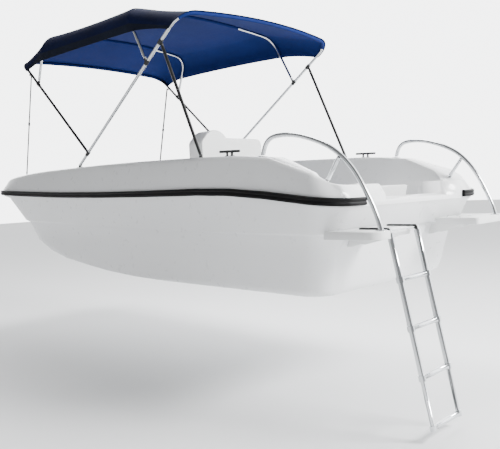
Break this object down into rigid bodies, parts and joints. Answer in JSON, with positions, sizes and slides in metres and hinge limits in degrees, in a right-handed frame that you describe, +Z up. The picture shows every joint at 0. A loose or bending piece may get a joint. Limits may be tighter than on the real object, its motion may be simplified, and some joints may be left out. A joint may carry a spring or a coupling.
{
  "type": "pedal boat",
  "caption": "Pedal boat with folding canopy, stern platforms, handrails, telescopic boarding ladder, paddle wheel drive and tiller steering.",
  "frame": {"origin": "middle of the hull's flat bottom face, amidships", "axes": "+X to the bow, +Y to port, +Z up"},
  "size_m": [5.2847, 1.944, 3.0431],
  "materials": {
    "gelcoat": "gloss",
    "black_vinyl": "satin",
    "steel": "polished",
    "black_tube": "satin",
    "nylon": "satin",
    "foam": "matte",
    "canvas": "woven",
    "webbing": "woven",
    "paddle_plastic": "satin",
    "rudder_plastic": "satin"
  },
  "bodies": {
    "boat": {"hull": "gelcoat", "deck": "gelcoat", "rub_rail": "black_vinyl", "buoyancy_foam": "foam", "wheel_box": "gelcoat", "shaft_bearings": "nylon", "stock_tube": "gelcoat", "seat_port": "gelcoat", "seat_starboard": "gelcoat", "bow_bench": "gelcoat", "console": "gelcoat", "corner_caps": "gelcoat", "tow_eye": "steel", "deck_cleats": "steel", "canopy_deck_hinges": "nylon", "canopy_hinge_pins": "steel", "brace_hinges": "nylon", "strap_deck_eyes": "steel", "platform_port": "gelcoat", "platform_starboard": "gelcoat", "platform_brackets": "gelcoat", "platform_bolts": "steel", "handrail_port": "steel", "handrail_starboard": "steel", "handrail_feet": "steel", "ladder_base": "nylon", "ladder_pin": "steel"},
    "crank": {"crankshaft": "steel", "paddle_wheel": "paddle_plastic", "crank_end_caps": "nylon"},
    "pedal_port_inner": {"pedal_port_inner": "nylon"},
    "pedal_port_outer": {"pedal_port_outer": "nylon"},
    "pedal_starboard_inner": {"pedal_starboard_inner": "nylon"},
    "pedal_starboard_outer": {"pedal_starboard_outer": "nylon"},
    "steering": {"rudder": "rudder_plastic", "tiller": "nylon"},
    "main_bow": {"main_bow": "steel", "main_bow_jaws": "nylon", "canopy_cloth": "canvas"},
    "front_bow": {"front_bow": "black_tube", "front_bow_jaws": "nylon"},
    "aft_middle_bow": {"aft_middle_bow": "steel"},
    "forward_middle_bow": {"forward_middle_bow": "steel"},
    "braces": {"rear_braces": "black_tube"},
    "strap_upper": {"strap_upper": "webbing", "strap_buckles": "nylon"},
    "strap_lower": {"strap_lower": "webbing"},
    "ladder_1": {"ladder_section_1": "steel"},
    "ladder_2": {"ladder_section_2": "steel"},
    "ladder_3": {"ladder_section_3": "steel"},
    "ladder_4": {"ladder_section_4": "steel"}
  },
  "joints": [
    {"name": "crank_turn", "type": "hinge", "parent": "boat", "child": "crank", "pos_m": [-0.85, 0, 0.32], "axis": [0, 1, 0], "continuous": true},
    {"name": "pedal_port_inner_turn", "type": "hinge", "parent": "crank", "child": "pedal_port_inner", "pos_m": [-0.85, 0.2195, 0.445], "axis": [0, 1, 0], "continuous": true},
    {"name": "pedal_port_outer_turn", "type": "hinge", "parent": "crank", "child": "pedal_port_outer", "pos_m": [-0.85, 0.3365, 0.195], "axis": [0, 1, 0], "continuous": true},
    {"name": "pedal_starboard_inner_turn", "type": "hinge", "parent": "crank", "child": "pedal_starboard_inner", "pos_m": [-0.725, -0.2195, 0.32], "axis": [0, 1, 0], "continuous": true},
    {"name": "pedal_starboard_outer_turn", "type": "hinge", "parent": "crank", "child": "pedal_starboard_outer", "pos_m": [-0.975, -0.3365, 0.32], "axis": [0, 1, 0], "continuous": true},
    {"name": "steer", "type": "hinge", "parent": "boat", "child": "steering", "pos_m": [-1.31, 0, 0], "axis": [0, 0, 1], "range_deg": [-35, 35]},
    {"name": "main_fold", "type": "hinge", "parent": "boat", "child": "main_bow", "pos_m": [0.74, 0, 1.00137], "axis": [0, 1, 0], "range_deg": [0, 132], "deforming": ["canopy_cloth"]},
    {"name": "front_fold", "type": "hinge", "parent": "main_bow", "child": "front_bow", "pos_m": [0.60474, 0, 1.12715], "axis": [0, 1, 0], "range_deg": [-101, 1]},
    {"name": "aft_middle_fold", "type": "hinge", "parent": "main_bow", "child": "aft_middle_bow", "pos_m": [-0.36115, 0, 1.7568], "axis": [0, 1, 0], "range_deg": [-82, 1]},
    {"name": "forward_middle_fold", "type": "hinge", "parent": "front_bow", "child": "forward_middle_bow", "pos_m": [1.42063, 0, 1.87302], "axis": [0, 1, 0], "range_deg": [-1, 68.5]},
    {"name": "brace_fold", "type": "hinge", "parent": "boat", "child": "braces", "pos_m": [-0.96, 0, 0.96497], "axis": [0, 1, 0], "range_deg": [-1, 63.5]},
    {"name": "strap_upper_fold", "type": "hinge", "parent": "front_bow", "child": "strap_upper", "pos_m": [1.61249, 0, 1.96755], "axis": [0, 1, 0], "range_deg": [-1, 64]},
    {"name": "strap_lower_fold", "type": "hinge", "parent": "boat", "child": "strap_lower", "pos_m": [1.865, 0, 0.98809], "axis": [0, 1, 0], "range_deg": [-72.5, 1]},
    {"name": "ladder_swing", "type": "hinge", "parent": "boat", "child": "ladder_1", "pos_m": [-2.385, 0.548, 0.426], "axis": [0, 1, 0], "range_deg": [0, 165]},
    {"name": "ladder_slide_2", "type": "slide", "parent": "ladder_1", "child": "ladder_2", "axis": [0.2079, 0, 0.9781], "range_m": [0, 0.24]},
    {"name": "ladder_slide_3", "type": "slide", "parent": "ladder_2", "child": "ladder_3", "axis": [0.2079, 0, 0.9781], "range_m": [0, 0.24]},
    {"name": "ladder_slide_4", "type": "slide", "parent": "ladder_3", "child": "ladder_4", "axis": [0.2079, 0, 0.9781], "range_m": [0, 0.24]}
  ],
  "couplings": [
    {"joint": "front_fold", "follows": "main_fold", "ratio": -0.76},
    {"joint": "aft_middle_fold", "follows": "main_fold", "ratio": -0.616},
    {"joint": "forward_middle_fold", "follows": "main_fold", "ratio": 0.514},
    {"joint": "brace_fold", "follows": "main_fold", "ratio": 0.475},
    {"joint": "strap_upper_fold", "follows": "main_fold", "ratio": 0.481},
    {"joint": "strap_lower_fold", "follows": "main_fold", "ratio": -0.543}
  ]
}
